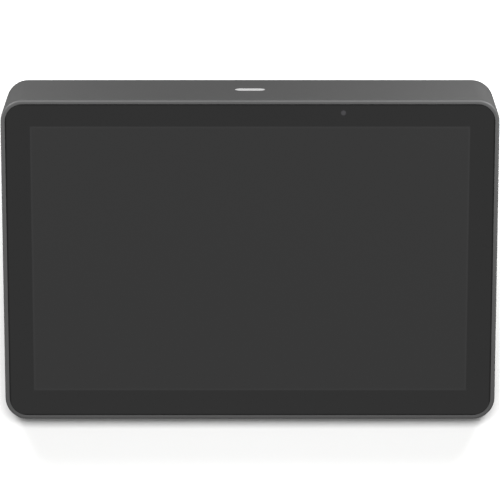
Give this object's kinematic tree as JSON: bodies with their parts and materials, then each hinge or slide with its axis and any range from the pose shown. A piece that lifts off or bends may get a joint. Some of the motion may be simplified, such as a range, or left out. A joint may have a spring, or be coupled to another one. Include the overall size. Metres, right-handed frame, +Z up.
{
  "type": "smart display",
  "caption": "Wedge-shaped tabletop touch display with a flush glass face, rubber feet and a cable bay behind a hinged door in its base.",
  "frame": {"origin": "centre of the object's box on the surface that it stands on", "axes": "+X to the right seen by someone facing the screen, +Y away from them towards the tall rear wall, +Z up"},
  "size_m": [0.246, 0.1709, 0.0508],
  "materials": {
    "housing_plastic": "fine moulded texture, graphite grey",
    "badge_ink": "smooth dark inlay",
    "cover_glass": "anti-smudge gloss over a dark printed border and a dark screen",
    "tape": "black foam tape",
    "touch_layer": "clear coated film",
    "adhesive": "clear optical resin",
    "lcd_glass": "polarised display cell",
    "frame_white": "white moulded frame",
    "film": "diffusing film",
    "light_guide": "clear acrylic",
    "reflector": "white reflecting film",
    "led_board": "white solder mask",
    "led": "phosphor",
    "pan_steel": "pressed sheet",
    "circuit_board": "green solder mask",
    "sensor": "dark lens",
    "flex": "polyimide film",
    "base_plastic": "moulded dark plastic",
    "tub_plastic": "moulded dark plastic",
    "steel": "cut plate",
    "brass": "knurled brass",
    "screw_steel": "black zinc screws",
    "pin_steel": "ground pin",
    "rubber": "matt silicone",
    "gasket_foam": "closed-cell foam",
    "chip": "moulded package",
    "thermal": "gap pad",
    "heat_sink": "extruded",
    "ferrite": "shielded coil",
    "tin": "tinned steel",
    "connector": "moulded connector",
    "reset_plastic": "moulded button",
    "antenna": "copper on film",
    "lead": "thin cable",
    "lead_red": "thin cable",
    "basket": "black pressed basket",
    "cone": "pressed paper",
    "magnet": "plated",
    "jack_plastic": "moulded socket"
  },
  "bodies": {
    "chassis": {"housing_left": "housing_plastic", "housing_right": "housing_plastic", "housing_front": "housing_plastic", "housing_rear": "housing_plastic", "badge": "badge_ink", "cover_glass": "cover_glass", "glass_tape": "tape", "touch_sensor": "touch_layer", "optical_adhesive": "adhesive", "lcd_cell": "lcd_glass", "display_frame": "frame_white", "optical_films": "film", "light_guide": "light_guide", "reflector_sheet": "reflector", "backlight_strip": "led_board", "backlight_leds": "led", "display_back_pan": "pan_steel", "display_driver_board": "circuit_board", "motion_sensor": "sensor", "sensor_board": "circuit_board", "sensor_flex": "flex", "display_flex": "flex", "touch_flex": "flex", "base_cover": "base_plastic", "ballast_plate": "steel", "mount_inserts": "brass", "assembly_screws": "screw_steel", "rubber_feet": "rubber", "cable_tub": "tub_plastic", "tub_screws": "screw_steel", "hinge_pins": "pin_steel", "clamp_inserts": "brass", "main_board": "circuit_board", "board_standoffs": "brass", "board_screws": "screw_steel", "processor": "chip", "thermal_pad": "thermal", "heat_sink": "heat_sink", "memory_chips": "chip", "power_inductors": "ferrite", "radio_shield": "tin", "flex_connectors": "connector", "hdmi_socket": "tin", "usb_a_socket": "tin", "usb_c_socket": "tin", "reset_switch": "chip", "wifi_antenna": "antenna", "antenna_lead": "lead", "speaker_basket": "basket", "speaker_cone": "cone", "speaker_magnet": "magnet", "speaker_gasket": "gasket_foam", "speaker_lead": "lead_red", "headphone_jack": "jack_plastic", "jack_board": "circuit_board", "lock_plate": "steel"},
    "door": {"bay_door": "base_plastic"},
    "clamp": {"clamp_bar": "tub_plastic", "clamp_screws": "screw_steel"},
    "reset": {"reset_button": "reset_plastic"}
  },
  "joints": [
    {"name": "door_hinge", "type": "hinge", "parent": "chassis", "child": "door", "pos_m": [0, 0.0222, 0.004], "axis": [-1, 0, 0], "range_deg": [0, 90]},
    {"name": "clamp_slide", "type": "slide", "parent": "chassis", "child": "clamp", "axis": [0, 0, -1], "range_m": [0, 0.003]},
    {"name": "reset_press", "type": "slide", "parent": "chassis", "child": "reset", "axis": [0, -1, 0], "range_m": [0, 0.0004], "stiffness_N_per_m": 1500}
  ]
}
